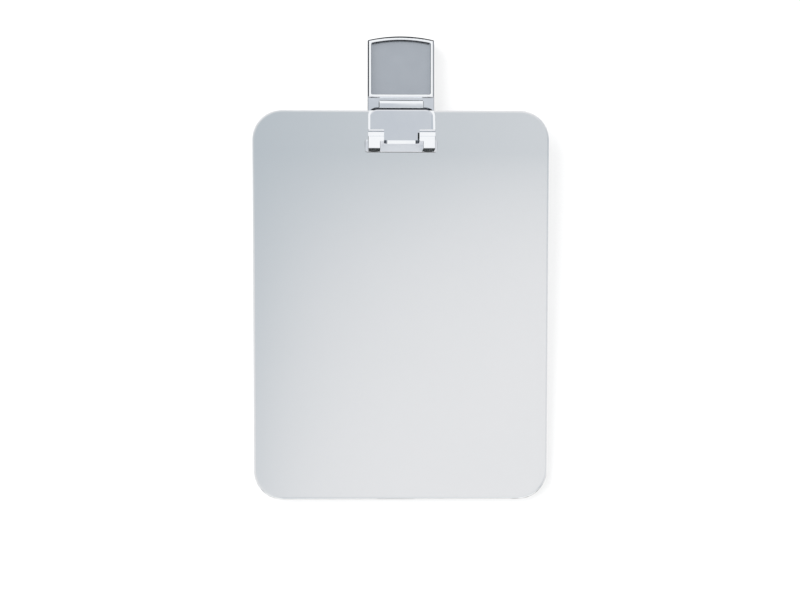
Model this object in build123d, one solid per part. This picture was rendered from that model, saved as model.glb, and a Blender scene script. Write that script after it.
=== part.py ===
from build123d import *
import os
from math import asin, atan, degrees, hypot, radians, tan

# A shower mirror that hangs on a cleat stuck to the wall. A bright-plated bracket, arched at its top,
# slides down over the cleat and holds the mirror by its top edge. An open cradle stands out of
# the bracket, over the mirror's edge. Lengths are in millimetres, angles in degrees.
# The origin is the middle of the adhesive pad's face on the wall. +Z is up, the wall is at Y = 0 and
# the mirror is on its -Y side. Pieces are drawn across, up and out, in a frame of their own.

# Mirror
mirror_width = 159.0
mirror_height = 210.0
mirror_corner_radius = 15.5
pane_thickness = 3.0
pane_bevel_width = 0.5
pane_bevel_depth = 0.3
pane_back_bevel = 0.3
silver_thickness = 0.15
backing_thickness = 0.85
backing_inset = 0.5
mirror_drop = 7.0

# Foam tape between the mirror and the bracket
mirror_tape_width = 28.0
mirror_tape_thickness = 0.8
mirror_tape_drop = 1.6
mirror_tape_rise = 2.6
tape_corner_radius = 1.5

# Bumpers at the foot of the mirror
bumper_radius = 4.5
bumper_tip_radius = 2.8
bumper_height = 1.4
bumper_wall_gap = 0.1
bumper_margin = 9.0

# Adhesive pad and cleat on the wall
pad_width = 22.0
pad_height = 38.0
pad_thickness = 1.2
pad_corner_radius = 2.0
cleat_height = 40.0
cleat_stem_width = 22.8
cleat_flange_thickness = 2.2
cleat_lead_in = 0.8
cleat_pocket_width = 13.0
cleat_pocket_height = 13.0
cleat_pocket_depth = 2.6
cleat_pocket_radius = 1.5
cleat_pocket_rib = 3.0

# Bracket plate
plate_width = 35.8
plate_height = 62.5
plate_top = 26.3
plate_arch_rise = 2.1
plate_corner_radius = 0.8
plate_side_wall = 2.0
plate_skin = 2.0
plate_wall_gap = 0.8
rim_width = 2.0
rim_height = 3.0
rim_edge_radius = 1.0
rim_inner_edge_radius = 0.3
panel_corner_radius = 0.8
land_height = 29.2
land_step = 0.5
land_skin = 2.2
land_top_wall = 1.2
land_edge_radius = 0.4
cleat_room = 1.2
slide_clearance = 0.4
stop_gap = 0.1
guide_lip_gap = 0.8
guide_lip_thickness = 1.6
guide_lip_length = 22.0
guide_lip_drop = 2.0
web_thickness = 1.4
web_count = 2

# Cradle
cradle_width = 35.2
cradle_depth = 16.0
cradle_height = 19.2
cradle_rise = 0.9
cradle_shoulder_radius = 4.8
cradle_edge_radius = 0.3
cradle_pocket_radius = 1.0
cradle_side_wall = 1.1
cradle_back_wall = 2.0
cradle_roof = 1.5
cradle_roof_depth = 5.4
cradle_floor = 1.8
cheek_sag = 1.3
lip_height = 6.4
lip_wall = 2.2
lip_bead_height = 1.1
lip_groove_height = 0.4
lip_band_height = 3.5
lip_band_step = 0.3
notch_width = 18.6
notch_back_land = 2.2
notch_corner_radius = 2.5
leg_width = 6.4
leg_drop = 3.6
leg_wall = 1.1
foot_width = 38.8
foot_height = 6.4
foot_drop = 22.1
foot_thickness = 1.6
foot_corner_radius = 1.4
foot_edge_radius = 0.3

# Neck of the cradle, over the mirror's top edge
neck_width = 24.0
neck_height = 4.8
neck_depth = 4.4
neck_mirror_gap = 0.6
neck_round = 2.0
neck_edge_radius = 0.6

# Clear tape between the mirror and the cradle
cradle_tape_thickness = 0.5
cradle_tape_inset = 0.8

# Screws from the plate into the neck
screw_spacing = 18.0
screw_radius = 1.1
screw_length = 8.0
screw_clearance = 0.08
screw_tip_room = 0.5
screw_head_radius = 2.1
screw_head_height = 1.5
screw_slot_width = 0.6
screw_slot_depth = 0.7

# Rubber plugs in the cradle's legs
plug_height = 2.4
plug_clearance = 0.05
plug_foot_gap = 0.3
plug_head_thickness = 0.2
plug_head_inset = 0.1

overrun = 5.0

# Depths, out from the wall
lip_back = plate_wall_gap + guide_lip_gap
flange_back = lip_back + guide_lip_thickness + slide_clearance
cleat_front = flange_back + cleat_flange_thickness
panel_back = cleat_front + cleat_room
panel_front = panel_back + plate_skin
rim_front = panel_front + rim_height
land_front = rim_front - land_step

# Heights, up from the middle of the pad, and half widths
cleat_top = cleat_height / 2
plate_bottom = plate_top - plate_height
land_top = plate_bottom + land_height
plate_half = plate_width / 2
cavity_half = plate_half - plate_side_wall

# Places out from the mirror's face, and up from its top edge
silver_back = -(pane_thickness + silver_thickness)
mirror_back = silver_back - backing_thickness
land_face = mirror_back - mirror_tape_thickness
screw_seat = land_face - land_skin
screw_tip = screw_seat + screw_length
screw_up = neck_mirror_gap + neck_height / 2
cradle_back = cradle_tape_thickness
foot_top = foot_height - foot_drop

# The mirror's lean: it turns about the land's top edge until its bumpers are almost on the wall
bumper_reach = mirror_drop + mirror_height - bumper_margin - bumper_radius + bumper_tip_radius
bumper_stand = bumper_height - mirror_tape_thickness
lean_sine = (land_front - bumper_wall_gap) / hypot(bumper_reach, bumper_stand)
mirror_lean = degrees(asin(lean_sine) - atan(bumper_stand / bumper_reach))

# Places in the cradle, up from the mirror's top edge and out from it
cradle_bottom = cradle_rise - cradle_height
floor_top = cradle_bottom + cradle_floor
lip_top = cradle_bottom + lip_height
lip_inside = cradle_depth - lip_wall
leg_bottom = cradle_bottom - leg_drop
cradle_half = cradle_width / 2
leg_inside = cradle_half - leg_width
foot_front = cradle_back + foot_thickness
plug_back = foot_front + plug_foot_gap + leg_bottom * tan(radians(mirror_lean))
leg_back = cradle_back + leg_wall + cradle_bottom * tan(radians(mirror_lean))
notch_back = cradle_back + cradle_back_wall + notch_back_land

# The three frames: the wall's, the leaning mirror's and the upright cradle's at the mirror's top edge
wall = Location(Plane(origin=(0, 0, 0), x_dir=(1, 0, 0), z_dir=(0, -1, 0)))
leaning = wall * Pos(0, land_top, land_front) * Rot(mirror_lean, 0, 0) * Pos(0, -mirror_drop, -land_face)
upright = Location(Plane(origin=leaning.position, x_dir=(1, 0, 0), z_dir=(0, -1, 0)))


def block(across, up, out):
    """A box between two places on each of the three axes."""
    size = (across[1] - across[0], up[1] - up[0], out[1] - out[0])
    return Pos(across[0], up[0], out[0]) * Box(*size, align=(Align.MIN, Align.MIN, Align.MIN))


def both_sides(shape):
    """The shape, and its mirror image on the other side of the middle."""
    return shape + mirror(shape, about=Plane.YZ)


def slab(outline, back, front):
    """A front view, pushed out from one depth to another."""
    return Pos(0, 0, back) * extrude(outline, front - back)


def across_slab(side_view, half_width):
    """A side view, drawn with out to the right and up upwards, pushed across from side to side."""
    plane = Plane(origin=(half_width, 0, 0), x_dir=(0, 0, 1), z_dir=(-1, 0, 0))
    return Location(plane) * extrude(side_view, 2 * half_width)


def upward_slab(plan, low, high):
    """A view from above, drawn with across to the right and out upwards, pushed up between two heights."""
    plane = Plane(origin=(0, high, 0), x_dir=(1, 0, 0), z_dir=(0, -1, 0))
    return Location(plane) * extrude(plan, high - low)


def rod(radius, across, up, back, front):
    """A round rod along the way out."""
    return slab(Pos(across, up) * Circle(radius), back, front)


def behind(out):
    """All that lies behind a plane parallel to the mirror, at one place out from its face."""
    reach = mirror_height
    return leaning * block((-reach, reach), (-reach, reach), (-reach, out))


def rounded_outline(width, low, high, radius):
    """A rectangle about the middle, with round corners."""
    return Pos(0, (low + high) / 2) * RectangleRounded(width, high - low, radius)


def arched_outline(low, inset, corner_radius):
    """The bracket's front view down to one height: straight sides under one shallow arc."""
    shoulder = plate_top - plate_arch_rise
    sides = Polyline(
        (plate_half, shoulder), (plate_half, low), (-plate_half, low), (-plate_half, shoulder)
    )
    arch = ThreePointArc((-plate_half, shoulder), (0, plate_top), (plate_half, shoulder))
    outline = offset(make_face(sides + arch), -inset, kind=Kind.INTERSECTION)
    return fillet(outline.vertices(), corner_radius)


def wall_pad():
    """Double-sided foam pad between the wall and the cleat."""
    return wall * slab(RectangleRounded(pad_width, pad_height, pad_corner_radius), 0, pad_thickness)


def wall_cleat():
    """Moulded cleat: a narrow stem on the pad, and a wider flange that the guide lips hook behind."""
    half_stem = cleat_stem_width / 2
    stem = block((-half_stem, half_stem), (-cleat_top, cleat_top), (pad_thickness, cleat_front))
    side_view = Pos((flange_back + cleat_front) / 2, 0) * Rectangle(cleat_flange_thickness, cleat_height)
    side_view = chamfer(side_view.vertices().group_by(Axis.Y)[-1], cleat_lead_in)
    cleat = stem + across_slab(side_view, cavity_half - slide_clearance)
    pocket = RectangleRounded(cleat_pocket_width, cleat_pocket_height, cleat_pocket_radius)
    rise = (cleat_pocket_height + cleat_pocket_rib) / 2
    for up in (-rise, rise):
        cleat -= Pos(0, up) * slab(pocket, cleat_front - cleat_pocket_depth, cleat_front + overrun)
    return wall * cleat


def web_places():
    """The left edge of each web behind the plate, spaced evenly across its cavity."""
    pitch = (2 * cavity_half + web_thickness) / (web_count + 1)
    return [index * pitch - cavity_half - web_thickness for index in range(1, web_count + 1)]


def guide_lips():
    """The two lips that run behind the cleat's flange, from the plate's side walls inward."""
    guide_top = cleat_top - guide_lip_drop
    across = (cleat_stem_width / 2 + slide_clearance, cavity_half + plate_side_wall / 2)
    up = (guide_top - guide_lip_length, guide_top)
    return both_sides(block(across, up, (lip_back, lip_back + guide_lip_thickness)))


def stop_webs():
    """The webs under the arch, whose lower ends rest on the cleat's top."""
    webs = Part()
    for left in web_places():
        up = (cleat_top + stop_gap, plate_top - plate_side_wall / 2)
        webs += block((left, left + web_thickness), up, (flange_back, panel_back + plate_skin / 2))
    return webs


def land_pockets():
    """The hollows behind the land, with the webs left standing between them."""
    lefts = [-cavity_half] + [left + web_thickness for left in web_places()]
    rights = web_places() + [cavity_half]
    pockets = Part()
    for left, right in zip(lefts, rights):
        up = (-plate_height, mirror_drop - land_top_wall)
        pockets += block((left, right), up, (-rim_front, screw_seat))
    return leaning * pockets


def plate_body():
    """The bracket plate before it is hollowed: its skin, the rim on it, and the leaning land below."""
    outline = arched_outline(plate_bottom, 0, plate_corner_radius)
    panel = arched_outline(land_top, rim_width, panel_corner_radius)
    rim = slab(arched_outline(land_top, 0, plate_corner_radius) - panel, panel_front, rim_front)
    rim = rim.fillet(rim_edge_radius, rim.faces().sort_by(Axis.Z)[-1].outer_wire().edges())
    rim = rim.fillet(rim_inner_edge_radius, rim.faces().sort_by(Axis.Z)[-1].inner_wires()[0].edges())
    up = (-plate_height, mirror_drop + rim_width / 2)
    land = block((-plate_half, plate_half), up, (-rim_front, land_face))
    land = fillet(land.edges().filter_by(Axis.Y).group_by(Axis.Z)[-1], land_edge_radius)
    land = leaning * land & wall * slab(outline, plate_wall_gap, rim_front)
    return wall * (slab(outline, plate_wall_gap, panel_front) + rim) + land


def hanger_plate():
    """Plated bracket plate: a rim round its recessed panel, a land for the mirror, and a hollow back."""
    cavity = arched_outline(plate_bottom - overrun, plate_side_wall, panel_corner_radius)
    plate = plate_body() - wall * slab(cavity, -overrun, panel_back) - land_pockets()
    plate += wall * (guide_lips() + stop_webs())
    hole = rod(screw_radius + screw_clearance, screw_spacing / 2, screw_up, screw_seat - overrun, 0)
    return plate - leaning * both_sides(hole)


def cradle_front_view():
    """The cradle from the front: a box with round shoulders on two legs."""
    outline = Pos(0, (cradle_rise + cradle_bottom) / 2) * Rectangle(cradle_width, cradle_height)
    outline = fillet(outline.vertices().group_by(Axis.Y)[-1], cradle_shoulder_radius)
    leg = Pos(cradle_half - leg_width / 2, (floor_top + leg_bottom) / 2) * Rectangle(
        leg_width, floor_top - leg_bottom
    )
    return outline + leg + mirror(leg, about=Plane.YZ)


def cheek_cut():
    """All in front of the sloping cheeks and above the lip, down its bead, its groove and its band."""
    bead = lip_bead_height / 2
    groove_face = cradle_depth - bead
    groove_top = lip_top - lip_bead_height
    band_top = groove_top - lip_groove_height
    band_face = cradle_depth - lip_band_step
    band_foot = lip_top - lip_band_height
    beyond = cradle_depth + overrun
    above = cradle_rise + overrun
    cheek = SagittaArc((cradle_roof_depth, cradle_rise), (lip_inside, lip_top), cheek_sag)
    round_bead = ThreePointArc(
        (groove_face, lip_top), (cradle_depth, lip_top - bead), (groove_face, groove_top)
    )
    edges = [
        cheek,
        Line((lip_inside, lip_top), (groove_face, lip_top)),
        round_bead,
        Polyline(
            (groove_face, groove_top),
            (groove_face, band_top),
            (band_face, band_top),
            (band_face, band_foot),
            (cradle_depth, band_foot - lip_band_step),
            (beyond, band_foot - lip_band_step),
            (beyond, above),
            (cradle_roof_depth, above),
            (cradle_roof_depth, cradle_rise),
        ),
    ]
    return across_slab(make_face(Curve() + edges), cradle_width)


def cradle_pocket():
    """The space inside the cradle, between its cheeks, under its roof and behind its lip."""
    low, high = floor_top, cradle_rise - cradle_roof
    outline = Pos(0, (low + high) / 2) * Rectangle(cradle_width - 2 * cradle_side_wall, high - low)
    outline = fillet(outline.vertices().group_by(Axis.Y)[-1], cradle_shoulder_radius - cradle_side_wall)
    outline = fillet(outline.vertices().group_by(Axis.Y)[0], cradle_pocket_radius)
    return upright * slab(outline, -overrun, lip_inside) - behind(cradle_back + cradle_back_wall)


def cradle_notch():
    """The slot through the floor and the lip, open at the front."""
    length = cradle_depth + overrun - notch_back
    plan = Pos(0, notch_back + length / 2) * Rectangle(notch_width, length)
    plan = fillet(plan.vertices().group_by(Axis.Y)[0], notch_corner_radius)
    return upright * upward_slab(plan, cradle_bottom - overrun, lip_top + overrun)


def leg_hollow(clearance, low, high):
    """The space inside the right leg, or what fills it with some clearance."""
    across = (leg_inside + leg_wall + clearance, cradle_half - leg_wall - clearance)
    return block(across, (low, high), (leg_back + clearance, cradle_depth - leg_wall - clearance))


def cradle_neck():
    """The neck from the plate's land over the mirror's top edge, round at its front."""
    depth = neck_depth - land_face
    side_view = Pos(land_face + depth / 2, screw_up) * Rectangle(depth, neck_height)
    front = side_view.vertices().group_by(Axis.X)[-1]
    side_view = fillet(front.sort_by(Axis.Y)[-1], neck_round)
    neck = across_slab(side_view, neck_width / 2)
    ends = neck.faces().sort_by(Axis.X)
    return fillet(ends[0].edges() + ends[-1].edges(), neck_edge_radius)


def cradle_foot():
    """The foot that lies on the mirror's face, behind the legs and a little wider."""
    foot = rounded_outline(foot_width, -foot_drop, foot_top, foot_corner_radius)
    foot = slab(foot, cradle_back, foot_front)
    return fillet(foot.faces().sort_by(Axis.Z)[-1].edges(), foot_edge_radius)


def razor_cradle():
    """Plated cradle: neck, back wall, roof, cheeks, floor, notched lip, hollow legs and foot."""
    box = slab(cradle_front_view(), -overrun, cradle_depth)
    box = fillet(box.faces().sort_by(Axis.Z)[-1].edges(), cradle_edge_radius) - cheek_cut()
    cradle = upright * box - behind(cradle_back) + leaning * cradle_foot()
    cradle -= upright * both_sides(leg_hollow(0, leg_bottom - overrun, cradle_bottom))
    cradle = cradle - cradle_pocket() - cradle_notch() + leaning * cradle_neck()
    bore = screw_radius + screw_clearance
    hole = rod(bore, screw_spacing / 2, screw_up, screw_seat, screw_tip + screw_tip_room)
    return cradle - leaning * both_sides(hole)


def cradle_screws():
    """Two slotted screws, driven from the plate's back into the neck."""
    across = screw_spacing / 2
    head = rod(screw_head_radius, across, screw_up, screw_seat - screw_head_height, screw_seat)
    half_slot = screw_slot_width / 2
    slot = block(
        (across - screw_head_radius, across + screw_head_radius),
        (screw_up - half_slot, screw_up + half_slot),
        (screw_seat - screw_head_height, screw_seat - screw_head_height + screw_slot_depth),
    )
    screw = head + rod(screw_radius, across, screw_up, screw_seat, screw_tip) - slot
    return leaning * both_sides(screw)


def leg_plug(side):
    """A rubber plug in one leg, with a thin head over the leg's end, in front of the foot."""
    stem = leg_hollow(plug_clearance, leg_bottom, leg_bottom + plug_height)
    across = (leg_inside + plug_head_inset, cradle_half - plug_head_inset)
    up = (leg_bottom - plug_head_thickness, leg_bottom)
    plug = stem + block(across, up, (plug_back, cradle_depth - cradle_edge_radius))
    return upright * (plug if side == "right" else mirror(plug, about=Plane.YZ))


def mirror_outline(inset):
    """The mirror's outline, set in from its edge."""
    return rounded_outline(
        mirror_width - 2 * inset, inset - mirror_height, -inset, mirror_corner_radius - inset
    )


def mirror_pane():
    """Clear pane with a ground bevel along its front edge and a small one along its back edge."""
    pane = slab(mirror_outline(0), -pane_thickness, 0)
    front = pane.faces().sort_by(Axis.Z)[-1]
    pane = chamfer(front.edges(), pane_bevel_width, pane_bevel_depth, reference=front)
    pane = chamfer(pane.faces().sort_by(Axis.Z)[0].edges(), pane_back_bevel)
    return leaning * pane


def mirror_silver():
    """The silver layer on the pane's back."""
    return leaning * slab(mirror_outline(backing_inset), silver_back, -pane_thickness)


def mirror_backing():
    """The grey backing over the silver."""
    return leaning * slab(mirror_outline(backing_inset), mirror_back, silver_back)


def mirror_tape():
    """Foam tape between the backing and the plate's land."""
    low = mirror_drop - land_height + mirror_tape_rise
    tape = rounded_outline(mirror_tape_width, low, -mirror_tape_drop, tape_corner_radius)
    return leaning * slab(tape, land_face, mirror_back)


def cradle_tape():
    """Clear tape between the mirror's face and the cradle's back."""
    low = cradle_tape_inset - foot_drop
    tape = rounded_outline(cradle_width - 2 * cradle_tape_inset, low, -cradle_tape_inset, tape_corner_radius)
    return leaning * slab(tape, 0, cradle_back)


def bumper(side):
    """A soft bumper at the foot of the mirror's back, almost on the wall."""
    across = mirror_width / 2 - bumper_margin - bumper_radius
    up = bumper_margin + bumper_radius - mirror_height
    top = (Align.CENTER, Align.CENTER, Align.MAX)
    shape = Cone(bumper_tip_radius, bumper_radius, bumper_height, align=top)
    return leaning * Pos(across if side == "right" else -across, up, mirror_back) * shape


parts = {
    "wall_pad": wall_pad(),
    "wall_cleat": wall_cleat(),
    "hanger_plate": hanger_plate(),
    "razor_cradle": razor_cradle(),
    "cradle_screws": cradle_screws(),
    "left_leg_plug": leg_plug("left"),
    "right_leg_plug": leg_plug("right"),
    "mirror_pane": mirror_pane(),
    "mirror_silver": mirror_silver(),
    "mirror_backing": mirror_backing(),
    "mirror_tape": mirror_tape(),
    "cradle_tape": cradle_tape(),
    "left_bumper": bumper("left"),
    "right_bumper": bumper("right"),
}

os.makedirs("parts", exist_ok=True)
for name, part in parts.items():
    export_step(part, os.path.join("parts", name + ".step"))
    print(name, len(part.solids()), "solids")
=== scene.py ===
# %% [markdown]
# # A shower mirror on its bracket
# The object is a frameless mirror with round corners. A bright-plated bracket holds it by its top edge,
# and an open cradle stands out in front of it. The construction comes ready, at its real size, as the
# frame. This script gives it its looks: polished shells, glass, light, a wall and a camera.
# All lengths are in metres, +Z is up, the wall is at Y = 0 and the mirror is on its -Y side.

# %% Load the frame
import bpy
import bmesh
import numpy as np
from math import atan2, degrees, pi, radians
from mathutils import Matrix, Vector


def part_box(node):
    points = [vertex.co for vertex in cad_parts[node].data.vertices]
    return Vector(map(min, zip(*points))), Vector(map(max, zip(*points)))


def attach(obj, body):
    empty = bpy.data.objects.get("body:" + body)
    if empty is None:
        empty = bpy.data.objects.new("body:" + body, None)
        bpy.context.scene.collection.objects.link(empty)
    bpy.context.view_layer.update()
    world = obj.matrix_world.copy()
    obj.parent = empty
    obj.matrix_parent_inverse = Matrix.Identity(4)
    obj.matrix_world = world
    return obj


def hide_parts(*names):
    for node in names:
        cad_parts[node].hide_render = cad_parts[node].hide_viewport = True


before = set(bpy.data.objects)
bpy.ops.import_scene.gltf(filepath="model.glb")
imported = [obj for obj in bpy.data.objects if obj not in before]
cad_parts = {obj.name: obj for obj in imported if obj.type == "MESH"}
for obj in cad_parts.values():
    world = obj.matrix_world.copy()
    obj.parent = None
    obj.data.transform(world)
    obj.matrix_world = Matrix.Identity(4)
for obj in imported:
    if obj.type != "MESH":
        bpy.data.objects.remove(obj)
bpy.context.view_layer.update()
mm = 0.001
print("nodes:", ", ".join(sorted(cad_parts)))

# %% [markdown]
# ## Where the mirror lies
# The mirror leans a little: its foot is nearer the wall than its top. The silver layer is thin and flat,
# so the direction in which its points spread least is the way out of the mirror. A singular value
# decomposition gives that direction, and the pane is then measured along it and along the mirror's height.

# %% Measure the leaning mirror
touching = 0.01 * mm


def node_points(name):
    """The corners of a node's mesh, as rows of x, y and z."""
    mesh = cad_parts[name].data
    points = np.empty(3 * len(mesh.vertices))
    mesh.vertices.foreach_get("co", points)
    return points.reshape(-1, 3)


silver_points = node_points("mirror_silver")
way_out = np.linalg.svd(silver_points - silver_points.mean(0), full_matrices=False)[2][2]
way_out = -way_out * np.sign(way_out[1])
way_up = np.array([0.0, way_out[2], -way_out[1]])
way_across = np.array([1.0, 0.0, 0.0])
mirror_lean = atan2(-way_out[2], -way_out[1])

pane_points = node_points("mirror_pane")
pane_across, pane_up, pane_out = (pane_points @ way for way in (way_across, way_up, way_out))
pane_width, pane_height, pane_thickness = np.ptp(pane_across), np.ptp(pane_up), np.ptp(pane_out)
pane_front = pane_out.max()
pane_top = pane_up.max()
on_side = pane_across > pane_across.max() - touching
pane_corner = (pane_height - np.ptp(pane_up[on_side])) / 2
print(f"pane {pane_width / mm:.1f} x {pane_height / mm:.1f} x {pane_thickness / mm:.1f} mm,")
print(f"corner radius {pane_corner / mm:.1f} mm, lean {degrees(mirror_lean):.2f} degrees")

# %% [markdown]
# ## Materials as sums
# A material is a little formula: mix this with that, add some noise, keep it between two limits. The class
# below wraps one output socket of a node tree. Adding, multiplying or taking it from 1 makes the Math nodes,
# so a formula can be read as one. Every other node comes from one method.

# %% A socket that can be used in a sum


class Signal:
    """One output socket of a node tree. Sums with it add Math nodes to the tree."""

    def __init__(self, tree, socket=None):
        self.tree = tree
        self.socket = socket

    def node(self, kind, settings=None, inputs=None, output=0):
        """Add a node of one type. Its settings come first, then the values or links of its sockets.

        What comes back is the signal of one of its outputs. An output of None is for a node that has none.
        """
        node = self.tree.nodes.new(kind)
        for name, value in (settings or {}).items():
            setattr(node, name, value)
        for name, value in (inputs or {}).items():
            if isinstance(value, Signal):
                self.tree.links.new(value.socket, node.inputs[name])
            else:
                node.inputs[name].default_value = value
        return Signal(self.tree, None if output is None else node.outputs[output])

    def math(self, operation, *values):
        """A Math node of one operation on this signal and the values after it."""
        return self.node("ShaderNodeMath", {"operation": operation}, dict(enumerate((self, *values))))

    def __add__(self, other):
        return self.math("ADD", other)

    def __sub__(self, other):
        return self.math("SUBTRACT", other)

    def __rsub__(self, other):
        return self.node("ShaderNodeMath", {"operation": "SUBTRACT"}, {0: other, 1: self})

    def __mul__(self, other):
        return self.math("MULTIPLY", other)

    def __truediv__(self, other):
        return self.math("DIVIDE", other)

    __radd__ = __add__
    __rmul__ = __mul__

    def between(self, low, high):
        """0 below one limit and 1 above the other, with a smooth rise between them."""
        settings = {"interpolation_type": "SMOOTHSTEP"}
        return self.node("ShaderNodeMapRange", settings, {"Value": self, "From Min": low, "From Max": high})

    def blend(self, first, second):
        """A colour: the first where this signal is 0, the second where it is 1."""
        factor, colour_a, colour_b, colour_result = 0, 6, 7, 2
        settings = {"data_type": "RGBA", "clamp_factor": True}
        inputs = {factor: self, colour_a: first, colour_b: second}
        return self.node("ShaderNodeMix", settings, inputs, colour_result)

# %% A material with one shader


def new_material(name):
    """An empty material, and a signal to start its formulas from."""
    material = bpy.data.materials.new(name)
    material.use_nodes = True
    material.node_tree.nodes.clear()
    return material, Signal(material.node_tree)


def finish(name, make):
    """A material whose one Principled shader gets the inputs that a function works out."""
    material, start = new_material(name)
    place = start.node("ShaderNodeTexCoord", output="Object")
    shader = start.node("ShaderNodeBsdfPrincipled", inputs=make(place))
    start.node("ShaderNodeOutputMaterial", inputs={"Surface": shader}, output=None)
    print("finish:", name)
    return material

# %% Noise, relief and colour


def noise(place, size, detail=3.0):
    """Soft noise from 0 to 1, with clumps of about one size."""
    inputs = {"Vector": place, "Scale": 1 / size, "Detail": detail, "Roughness": 0.5}
    return place.node("ShaderNodeTexNoise", inputs=inputs)


def bump(height, depth):
    """A normal that makes a height from 0 to 1 look as deep as one length."""
    return height.node("ShaderNodeBump", inputs={"Height": height, "Distance": depth, "Strength": 1.0})


def rgb(red, green, blue):
    """A colour given as it looks on screen, from 0 to 255, made linear by the sRGB curve."""
    share = np.array([red, green, blue]) / 255
    linear = np.where(share <= 0.04045, share / 12.92, ((share + 0.055) / 1.055) ** 2.4)
    return (*linear, 1.0)


white = rgb(255, 255, 255)
print("white is", white)

# %% [markdown]
# ## The finishes
# The bracket and the cradle are plated: a mirror-bright metal with a faint unevenness, as polished and
# plated castings have. The bracket's recessed panel is a satin grey, brushed upright. The narrow wall under
# the arch is painted nearly black: painted shade, for the shade that falls in the recess under the arch.
# Noise in the object's own coordinates makes the unevenness, since it needs no unwrapping and shows no seam.

# %% Bright plating
cloud_size = 9 * mm
haze_size = 1.3 * mm
plating_tones = rgb(240, 243, 247), rgb(247, 249, 251)


def bright_plating(place):
    """Bright metal whose polish and level vary a little from place to place."""
    cloud = noise(place, cloud_size, detail=2.0)
    haze = noise(place, haze_size, detail=4.0).between(0.45, 0.8)
    return {
        "Base Color": cloud.blend(*plating_tones),
        "Metallic": 1.0,
        "Roughness": 0.035 + 0.045 * haze,
        "Normal": bump(cloud, 0.03 * mm),
    }


plating = finish("bright_plating", bright_plating)

# %% Softer plating


def soft_plating(place):
    """Plating over a face that was left a little less smooth."""
    haze = noise(place, haze_size, detail=4.0)
    return {
        "Base Color": noise(place, cloud_size).blend(*plating_tones),
        "Metallic": 1.0,
        "Roughness": 0.17 + 0.06 * haze,
    }


hazy_plating = finish("soft_plating", soft_plating)

# %% Satin panel


def satin_panel(place):
    """Satin grey metal with very fine upright brushing."""
    stretched = place.node("ShaderNodeMapping", inputs={"Vector": place, "Scale": (1.0, 1.0, 0.04)})
    brushing = noise(stretched, 0.16 * mm, detail=2.0)
    cloud = noise(place, 7 * mm)
    return {
        "Base Color": (0.6 * cloud + 0.4 * brushing).blend(rgb(160, 166, 174), rgb(173, 179, 186)),
        "Metallic": 0.85,
        "Roughness": 0.22 + 0.06 * brushing,
        "Normal": bump(brushing, 0.01 * mm),
    }


panel_satin = finish("satin_panel", satin_panel)

# %% Painted shade under the arch


def shaded_arch_wall(place):
    """Dark grey metal with a fine grain for the narrow wall under the arch; its darkness is painted shade.
    """
    grain = noise(place, 0.8 * mm)
    return {
        "Base Color": grain.blend(rgb(34, 38, 42), rgb(52, 57, 62)),
        "Metallic": 0.2,
        "Roughness": 0.55 + 0.2 * grain,
        "Specular IOR Level": 0.25,
        "Normal": bump(grain, 0.01 * mm),
    }


arch_wall_shade = finish("shaded_arch_wall", shaded_arch_wall)

# %% [markdown]
# ## Glass, silver and paint
# A mirror is a clear pane with a silver layer behind it and a grey backing paint over the silver. A single
# bright sheet would be simpler, but the pane is real glass here: light goes through it, meets the silver and
# comes back, so the ground bevel shows as a pale line round the edge, as it does on a real mirror.

# %% Clear pane


def clear_glass(place):
    """Clear float glass with a trace of green and a barely felt waviness."""
    return {
        "Base Color": rgb(252, 254, 253),
        "Transmission Weight": 1.0,
        "IOR": 1.52,
        "Roughness": 0.0,
        "Normal": bump(noise(place, 40 * mm, detail=1.0), 0.001 * mm),
    }


glass = finish("clear_glass", clear_glass)

# %% Silver and backing


def mirror_silver(place):
    """The silver layer: a smooth metal, a touch cooler than white."""
    return {
        "Base Color": noise(place, 60 * mm).blend(rgb(246, 247, 248), rgb(249, 249, 250)),
        "Metallic": 1.0,
        "Roughness": 0.0,
    }


def backing_paint(place):
    """Grey backing paint with the faint orange peel of a curtain coater."""
    peel = noise(place, 1.1 * mm, detail=2.0)
    patches = noise(place, 22 * mm)
    return {
        "Base Color": patches.blend(rgb(146, 151, 155), rgb(152, 157, 160)),
        "Roughness": 0.5 + 0.12 * peel,
        "Normal": bump(peel, 0.03 * mm),
    }


silver = finish("mirror_silver", mirror_silver)
backing = finish("backing_paint", backing_paint)

# %% [markdown]
# ## The small pieces
# What is left is ordinary: foam tape full of small cells, a white moulding, dusty rubber, milky soft
# plastic, clear tape and zinc-plated screws. Each is a pair of near colours with a varied roughness or a
# fine relief. Where one noise drives all of them, the marks of colour, shine and relief agree, as they do on
# real dust.

# %% Foam tape
foam_cell = 0.35 * mm


def closed_cell_foam(place):
    """White foam tape, with the pits of its cells, each pit painted darker towards its middle as painted
    shade.
    """
    cells = place.node("ShaderNodeTexVoronoi", inputs={"Vector": place, "Scale": 1 / foam_cell})
    return {
        "Base Color": cells.between(0.1, 0.6).blend(rgb(214, 215, 212), rgb(236, 237, 235)),
        "Roughness": 0.9,
        "Normal": bump(cells, 0.06 * mm),
    }


foam = finish("closed_cell_foam", closed_cell_foam)

# %% White moulding


def moulded_white(place):
    """White moulding with a fine spark-eroded texture."""
    grain = noise(place, 0.25 * mm, detail=2.0)
    return {
        "Base Color": noise(place, 12 * mm).blend(rgb(232, 234, 234), rgb(240, 241, 241)),
        "Roughness": 0.42 + 0.14 * grain,
        "Normal": bump(grain, 0.015 * mm),
    }


white_plastic = finish("moulded_white", moulded_white)

# %% Rubber plugs and soft bumpers


def dark_rubber(place):
    """Dark moulded rubber, a little dusty."""
    dust = noise(place, 0.6 * mm, detail=4.0)
    return {
        "Base Color": dust.between(0.4, 0.75).blend(rgb(38, 45, 47), rgb(64, 71, 73)),
        "Roughness": 0.55 + 0.25 * dust,
        "Normal": bump(dust, 0.02 * mm),
    }


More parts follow.
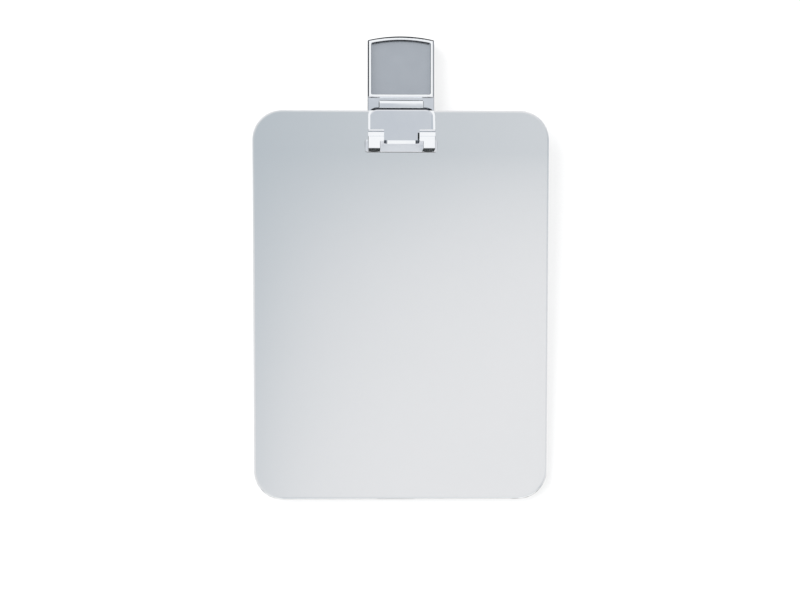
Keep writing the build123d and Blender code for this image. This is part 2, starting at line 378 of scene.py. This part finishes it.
def soft_bumper(place):
    """Milky, half-clear soft plastic."""
    cloud = noise(place, 2 * mm)
    return {
        "Base Color": cloud.blend(rgb(222, 227, 228), rgb(236, 239, 240)),
        "Transmission Weight": 0.35,
        "IOR": 1.45,
        "Roughness": 0.25 + 0.15 * cloud,
        "Normal": bump(cloud, 0.02 * mm),
    }


rubber = finish("dark_rubber", dark_rubber)
bumper_plastic = finish("soft_bumper", soft_bumper)

# %% Clear tape and screws


def clear_film(place):
    """The clear adhesive tape under the cradle."""
    bubbles = noise(place, 1.0 * mm)
    return {
        "Base Color": bubbles.blend(rgb(235, 240, 241), rgb(246, 248, 249)),
        "Transmission Weight": 0.9,
        "IOR": 1.45,
        "Roughness": 0.15 + 0.2 * bubbles,
    }


def zinc_steel(place):
    """Zinc-plated steel with turning marks."""
    marks = noise(place, 0.3 * mm)
    return {
        "Base Color": marks.blend(rgb(186, 190, 194), rgb(205, 209, 213)),
        "Metallic": 1.0,
        "Roughness": 0.25 + 0.15 * marks,
        "Normal": bump(marks, 0.01 * mm),
    }


tape_film = finish("clear_film", clear_film)
steel = finish("zinc_steel", zinc_steel)

# %% [markdown]
# ## A finish for each piece
# Every ready-made piece gets one finish. Three of them are replaced further down: the bracket's plate, the
# cradle and the pane are drawn more finely there.

# %% Finishes on the ready-made pieces
node_finishes = {
    "wall_pad": foam,
    "wall_cleat": white_plastic,
    "hanger_plate": plating,
    "razor_cradle": plating,
    "cradle_screws": steel,
    "left_leg_plug": rubber,
    "right_leg_plug": rubber,
    "mirror_pane": glass,
    "mirror_silver": silver,
    "mirror_backing": backing,
    "mirror_tape": foam,
    "cradle_tape": tape_film,
    "left_bumper": bumper_plastic,
    "right_bumper": bumper_plastic,
}
for name, material in node_finishes.items():
    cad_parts[name].data.materials.clear()
    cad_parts[name].data.materials.append(material)
print("pieces with a finish:", len(node_finishes))

# %% [markdown]
# ## Polished shells
# Bright plating shows every facet. The two plated pieces come as loose triangles, so each gets a copy whose
# doubled corners are merged. Edges sharper than a limit stay sharp, the rest are shaded smoothly, and the
# Weighted Normal modifier lets the large flat faces keep their own direction, so rounds roll off softly.

# %% Merge and smooth a copy
sharp_from = radians(32)
flat_face_weight = 100
merge_distance = 0.002 * mm


def smooth_piece(name, mesh):
    """A new object with this mesh, smooth between its sharp edges and level on its large faces."""
    mesh.shade_smooth()
    mesh.set_sharp_from_angle(angle=sharp_from)
    piece = bpy.data.objects.new(name, mesh)
    bpy.context.scene.collection.objects.link(piece)
    weights = piece.modifiers.new("flat faces stay flat", "WEIGHTED_NORMAL")
    weights.keep_sharp = True
    weights.weight = flat_face_weight
    return piece


def polished(node, name, materials):
    """A merged and smoothed copy of a node, which takes its place."""
    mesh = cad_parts[node].data.copy()
    mesh.name = name
    work = bmesh.new()
    work.from_mesh(mesh)
    bmesh.ops.remove_doubles(work, verts=work.verts, dist=merge_distance)
    work.to_mesh(mesh)
    work.free()
    if "custom_normal" in mesh.attributes:
        mesh.attributes.remove(mesh.attributes["custom_normal"])
    mesh.materials.clear()
    for material in materials:
        mesh.materials.append(material)
    piece = smooth_piece(name, mesh)
    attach(piece, "mirror_unit")
    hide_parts(node)
    print(f"{name}: {len(mesh.vertices)} corners, {len(mesh.polygons)} faces")
    return piece


bracket_finishes = [plating, panel_satin, arch_wall_shade]
cradle_finishes = [plating, panel_satin, hazy_plating]
bracket = polished("hanger_plate", "polished_bracket", bracket_finishes)
cradle = polished("razor_cradle", "polished_cradle", cradle_finishes)

# %% [markdown]
# ## Faces with another finish
# The bracket's recessed panel is satin: these are the triangles at its depth that look out of the wall. The
# narrow wall above the panel, under the arch, is painted dark as painted shade. On the cradle the groove
# under the lip's bead gets the satin grey as painted shade, and the face of the foot on the mirror is plated
# more softly. All are found by their direction and their place, because the triangles' numbers can change
# each time the construction is made.

# %% Find the faces
level_slack = 0.02 * mm
straight = 0.9999
roughly = 0.9


def face_facts(mesh):
    """Each face's unit normal and its middle, as rows of x, y and z."""
    normals = np.empty(3 * len(mesh.polygons))
    middles = np.empty(3 * len(mesh.polygons))
    mesh.polygons.foreach_get("normal", normals)
    mesh.polygons.foreach_get("center", middles)
    return normals.reshape(-1, 3), middles.reshape(-1, 3)


def straight_at(level, depth, facing):
    """The faces at one depth whose normal has almost all of its length along one way."""
    return (np.abs(depth - level) < level_slack) & (facing > straight)


def give_finishes(mesh, *groups):
    """Each group of faces gets the next of the mesh's materials, and all others have the first."""
    index = sum(number * group for number, group in enumerate(groups, start=1))
    mesh.polygons.foreach_set("material_index", index.astype(np.int32))

# %% Panel and arch wall
rim_height = 3.0 * mm
rim_round = 0.3 * mm
normals, middles = face_facts(bracket.data)
depth = middles[:, 1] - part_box("hanger_plate")[0].y
is_panel = straight_at(rim_height, depth, -normals[:, 1])
above_panel = middles[:, 2] > middles[is_panel, 2].mean()
# The dark finish on these downward faces is painted shade for the recess under the arch, not the metal's
# colour.
is_shaded_wall = (depth > rim_round) & (depth < rim_height) & (-normals[:, 2] > roughly) & above_panel
give_finishes(bracket.data, is_panel, is_shaded_wall)
print("panel faces:", int(is_panel.sum()), "arch wall faces:", int(is_shaded_wall.sum()))

# %% Groove and foot
groove_depth = 0.55 * mm
foot_height = 2.1 * mm
normals, middles = face_facts(cradle.data)
# The groove's satin grey is painted shade: darker than the plating, for the shade that falls in the groove.
shaded_groove = straight_at(groove_depth, middles[:, 1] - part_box("razor_cradle")[0].y, -normals[:, 1])
is_foot = straight_at(foot_height, middles @ way_out - pane_front, normals @ way_out)
give_finishes(cradle.data, shaded_groove, is_foot)
print("groove faces:", int(shaded_groove.sum()), "foot faces:", int(is_foot.sum()))

# %% [markdown]
# ## The pane
# A mirror's edge is ground in steps: a shallow bevel in front, an upright edge and a narrow bevel at the
# back, each meeting the next in a small round. A Bevel modifier would cut both sides alike, so the pane is a
# profile of a few stations carried round the outline instead. Its back lies a hair inside the silver, so
# that light meets the silver first. The silver layer stops short of the outline, so the narrow strip of the
# pane's back outside it is silvered as well, up to the ground edge.

# %% Rounded outline and profile
corner_steps = 24
bevel_width = 0.55 * mm
bevel_depth = 0.15 * mm
back_bevel = 0.08 * mm
edge_round = 0.08 * mm
into_silver = 0.05 * mm
silver_inset = (pane_width - np.ptp(silver_points @ way_across)) / 2


def rounded_ring(inset):
    """Points round the pane: each corner is a quarter circle about its own centre, set in from the edge."""
    quarter = np.repeat(np.arange(4), corner_steps)
    angle = (quarter + np.tile(np.linspace(0, 1, corner_steps), 4)) * pi / 2
    side = np.sign(np.cos((quarter + 0.5) * pi / 2)), np.sign(np.sin((quarter + 0.5) * pi / 2))
    across = side[0] * (pane_width / 2 - pane_corner) + (pane_corner - inset) * np.cos(angle)
    up = side[1] * (pane_height / 2 - pane_corner) + (pane_corner - inset) * np.sin(angle)
    return across, up + pane_top - pane_height / 2


def edge_profile():
    """Stations of inset and depth, from the front face round the edge to the back face.

    Each edge between two slopes is cut at one length from it on both sides, which makes it look round.
    """
    slope = bevel_depth / bevel_width
    first_fall = 0.03 * edge_round
    near_edge = 0.2 * edge_round
    return np.array([
        (bevel_width + edge_round, 0.0),
        (bevel_width, first_fall),
        (bevel_width - edge_round, slope * edge_round),
        (edge_round, bevel_depth - slope * edge_round),
        (near_edge, bevel_depth),
        (0.0, bevel_depth + edge_round),
        (0.0, pane_thickness - back_bevel - edge_round),
        (near_edge, pane_thickness - back_bevel),
        (back_bevel, pane_thickness - near_edge),
        (back_bevel + edge_round, pane_thickness),
        (silver_inset, pane_thickness),
        (silver_inset + into_silver, pane_thickness + into_silver),
    ])


print("stations in the edge's profile:", len(edge_profile()))

# %% The pane's mesh


def pane_mesh():
    """The profile's stations, each a ring round the outline, closed by a flat face in front and behind."""
    rings = []
    for inset, depth in edge_profile():
        across, up = rounded_ring(inset)
        rings.append(np.outer(across, way_across) + np.outer(up, way_up) + (pane_front - depth) * way_out)
    count = 4 * corner_steps
    here = np.arange(count)
    following = (here + 1) % count
    last = (len(rings) - 1) * count
    faces = [here.tolist(), (last + here[::-1]).tolist()]
    for low in range(0, last, count):
        high = low + count
        faces += np.stack([low + here, high + here, high + following, low + following], axis=1).tolist()
    mesh = bpy.data.meshes.new("ground_pane")
    mesh.from_pydata(np.concatenate(rings).tolist(), [], faces)
    mesh.validate()
    return mesh


mesh = pane_mesh()
mesh.materials.append(glass)
mesh.materials.append(silver)
normals, middles = face_facts(mesh)
is_strip = straight_at(pane_thickness, pane_front - middles @ way_out, -normals @ way_out)
give_finishes(mesh, is_strip)
pane = smooth_piece("ground_pane", mesh)
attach(pane, "mirror_unit")
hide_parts("mirror_pane")
print("pane:", len(mesh.polygons), "faces,", int(is_strip.sum()), "of them silvered")

# %% [markdown]
# ## Wall and floor
# The wall takes the mirror's soft shadow. Only camera rays and rays through the pane's edge meet it, from
# its front: all others pass through, so that the back of the mirror can be seen and lit too. The floor is
# met by camera rays alone, so that the mirror doesn't show where it ends. Most of their white is their own,
# so that the open wall is plain white and the shadows on it stay light.

# %% Sheets and paint for the stage
own_light = 0.7


def staged_plane(name, corners, material):
    """A flat sheet that isn't part of the object. Its corners go once round it."""
    mesh = bpy.data.meshes.new(name)
    mesh.from_pydata(corners, [], [tuple(range(len(corners)))])
    mesh.materials.append(material)
    sheet = bpy.data.objects.new(name, mesh)
    bpy.context.scene.collection.objects.link(sheet)
    return sheet


def ray_is(start, *kinds):
    """1 for rays of any of the named kinds, 0 for all others."""
    seen = start.node("ShaderNodeLightPath", output=kinds[0])
    for kind in kinds[1:]:
        seen = seen.math("MAXIMUM", start.node("ShaderNodeLightPath", output=kind))
    return seen


def stage_white(name, *kinds):
    """White from the front for the named kinds of ray, and nothing for all others."""
    material, start = new_material(name)
    seen = ray_is(start, *kinds)
    back = start.node("ShaderNodeNewGeometry", output="Backfacing")
    matt = start.node("ShaderNodeBsdfDiffuse", inputs={"Color": white})
    glow = start.node("ShaderNodeEmission", inputs={"Color": white, "Strength": 1.0})
    paint = start.node("ShaderNodeMixShader", inputs={0: own_light, 1: matt, 2: glow})
    clear = start.node("ShaderNodeBsdfTransparent")
    both = start.node("ShaderNodeMixShader", inputs={0: seen * (1 - back), 1: clear, 2: paint})
    start.node("ShaderNodeOutputMaterial", inputs={"Surface": both}, output=None)
    return material

# %% Wall and floor
wall_half = 1.1
wall_top = 0.8
wall_gap = 0.1 * mm
floor_level = -0.75
floor_reach = 1.6
wall_corners = [
    (-wall_half, wall_gap, floor_level),
    (wall_half, wall_gap, floor_level),
    (wall_half, wall_gap, wall_top),
    (-wall_half, wall_gap, wall_top),
]
floor_corners = [
    (-wall_half, -floor_reach, floor_level),
    (wall_half, -floor_reach, floor_level),
    (wall_half, wall_gap, floor_level),
    (-wall_half, wall_gap, floor_level),
]
staged_plane("wall", wall_corners, stage_white("wall_white", "Is Camera Ray", "Is Transmission Ray"))
staged_plane("floor", floor_corners, stage_white("floor_white", "Is Camera Ray"))
print("wall and floor")

# %% [markdown]
# ## A dark card
# Polished edges vanish in front of a white wall. A photographer puts a dark card near them, and so does this
# script: a narrow one just over the bracket's front edge, out of the camera's sight. Only reflections meet
# it, and it draws the arch's upper edge as a fine dark line. Its front comes forward at the middle, where
# that line is strongest.

# %% A dark card over the bracket's front edge
card_gap = 2 * mm
card_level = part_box("hanger_plate")[1].z + card_gap
card_tone = (0.03, 0.034, 0.04, 1.0)
card_outline = mm * np.array([
    (-24.0, -16.5),
    (-9.0, -17.2),
    (0.0, -19.5),
    (5.0, -19.5),
    (10.0, -18.0),
    (16.0, -16.8),
    (24.0, -16.5),
    (24.0, -7.0),
    (-24.0, -7.0),
])
material, start = new_material("card_black")
black = start.node("ShaderNodeEmission", inputs={"Color": card_tone, "Strength": 1.0})
start.node("ShaderNodeOutputMaterial", inputs={"Surface": black}, output=None)
card = staged_plane("edge_card", [(x, y, card_level) for x, y in card_outline], material)
for kind in ("camera", "diffuse", "transmission", "volume_scatter", "shadow"):
    setattr(card, "visible_" + kind, False)
print(f"card at {card_level / mm:.1f} mm")

# %% [markdown]
# ## What the mirror sees
# A mirror shows the room behind the camera. Here that room is the world's colour in each direction, because
# a room of real walls would need light of its own. Ahead of the mirror lies a soft grey, darkest a little to
# the left, with a large white window above it. To the sides and behind, a dark band stands at about the
# bracket's height. It draws the fine outlines on the plating. The rest goes from a pale floor to a darker
# ceiling with a white lamp field overhead. Diffuse rays see an even pale grey instead. The room's colours
# are amounts of light, from 0 to 1.

# %% The soft grey ahead
world = bpy.data.worlds.new("soft_room")
bpy.context.scene.world = world
world.use_nodes = True
world.node_tree.nodes.clear()
room = Signal(world.node_tree)
direction = room.node("ShaderNodeTexCoord", output="Generated")
toward = {
    name: direction.node("ShaderNodeSeparateXYZ", inputs={0: direction}, output=name) for name in "XYZ"
}

least_ahead = 0.05
ahead = (0 - toward["Y"]).math("MAXIMUM", least_ahead)
sideways = toward["X"] / ahead
upwards = toward["Z"] / ahead

dark_slope = -0.0917
slope_span = 0.234
fall_span = 0.244
most_spans = 3.0
side_rate = 0.61
fall_rate = 0.56
joint_rate = 5.04
pale_grey = (0.85, 0.84, 0.857, 1.0)
dark_grey = (0.519, 0.558, 0.602, 1.0)


def darkness():
    """1 at the dark spot. Darkness is e to the power of minus a rise.

    The rise has three terms, each times a rate of its own: how far a direction lies to the side of the spot,
    how far it falls below the level, and the product of the two.
    """
    aside = ((sideways - dark_slope).math("ABSOLUTE") / slope_span).math("MINIMUM", most_spans)
    fall = ((0 - upwards) / fall_span).math("MAXIMUM", 0.0).math("MINIMUM", most_spans)
    rise = side_rate * aside + fall_rate * fall + joint_rate * (aside * fall)
    return (0 - rise).math("EXPONENT")


grey = darkness().blend(pale_grey, dark_grey)
print(f"the grey is darkest {-dark_slope:.3f} m to the left for each metre ahead")

# %% The window, the surroundings and the world
window_foot = (0.035, 0.085)
front_sides = (0.5, 0.75)
front_edge = (0.05, 0.2)
room_height = (-0.7, 0.6)
floor_tone = (0.68, 0.69, 0.70, 1.0)
ceiling_tone = (0.24, 0.25, 0.27, 1.0)
band_foot = (0.0, 0.06)
band_top = (0.3, 0.45)
band_turn = (0.0, 0.3)
band_left = (0.05, 0.055, 0.062, 1.0)
band_right = (0.30, 0.31, 0.33, 1.0)
lamp_edge = (0.72, 0.82)
even_light = (0.74, 0.75, 0.76, 1.0)

window = upwards.between(*window_foot).blend(grey, white)
in_front = (1 - sideways.math("ABSOLUTE").between(*front_sides)) * (0 - toward["Y"]).between(*front_edge)
floor_to_ceiling = toward["Z"].between(*room_height).blend(floor_tone, ceiling_tone)
left_to_right = toward["X"].between(*band_turn).blend(band_left, band_right)
dark_band = toward["Z"].between(*band_foot) * (1 - toward["Z"].between(*band_top))
overhead = toward["Z"].between(*lamp_edge)
around = overhead.blend(dark_band.blend(floor_to_ceiling, left_to_right), white)
seen_colour = in_front.blend(around, window)

directly = ray_is(room, "Is Camera Ray").blend(seen_colour, white)
looked_at = ray_is(room, "Is Camera Ray", "Is Glossy Ray", "Is Transmission Ray")
colour = looked_at.blend(even_light, directly)
background = room.node("ShaderNodeBackground", inputs={"Color": colour, "Strength": 1.0})
room.node("ShaderNodeOutputWorld", inputs={"Surface": background}, output=None)
print("nodes in the world:", len(world.node_tree.nodes))

# %% [markdown]
# ## Lamps
# A large soft lamp to the upper left casts the faint shadow to the right of the mirror and the bracket.
# A weaker one from the right keeps the shadow light, and one behind the wall's plane lights the back. They
# are area lamps, because a shadow's edge is as soft as its lamp is wide.

# %% Lamps
lamp_target = (0.0, 0.0, -0.1)


def soft_lamp(name, place, size, power):
    """A square area lamp that looks at the mirror, and doesn't show in it."""
    data = bpy.data.lights.new(name, "AREA")
    data.shape = "SQUARE"
    data.size = size
    data.energy = power
    lamp = bpy.data.objects.new(name, data)
    bpy.context.scene.collection.objects.link(lamp)
    lamp.location = place
    away = np.array(place) - np.array(lamp_target)
    flat = np.hypot(away[0], away[1])
    lamp.rotation_euler = (atan2(flat, away[2]), 0, atan2(away[0], -away[1]))
    lamp.visible_glossy = False
    lamp.visible_transmission = False
    lamp.visible_camera = False
    print(f"lamp {name}: {power} W from {place}")


soft_lamp("key", place=(-1.4, -1.25, 0.6), size=1.9, power=60)
soft_lamp("fill", place=(1.2, -1.3, 0.1), size=1.0, power=4)
soft_lamp("back_fill", place=(0.4, 1.5, 0.5), size=1.0, power=12)

# %% [markdown]
# ## Camera
# The photograph was taken almost straight on, a little to the left of the mirror's middle. The camera's
# place, its turn and its lens were fitted to the pane's four corners, for a distance of 0.72 m.

# %% Camera
sensor_width = 36.0
focal_length = 60.08
camera_left = 17.0 * mm
camera_rise = 7.1 * mm
camera_distance = 720 * mm
yaw = radians(1.314)
pitch = radians(-0.269)

lens = bpy.data.cameras.new("camera")
lens.sensor_width = sensor_width
lens.lens = focal_length
camera = bpy.data.objects.new("camera", lens)
bpy.context.scene.collection.objects.link(camera)
bpy.context.scene.camera = camera
pane_middle = (pane_top - pane_height / 2) * way_up + pane_front * way_out
camera.location = (-camera_left, pane_middle[1] - camera_distance, pane_middle[2] + camera_rise)
camera.rotation_euler = (pi / 2 + pitch, 0.0, -yaw)
bpy.context.scene.view_settings.view_transform = "Standard"
print("camera at", [round(value, 4) for value in camera.location])
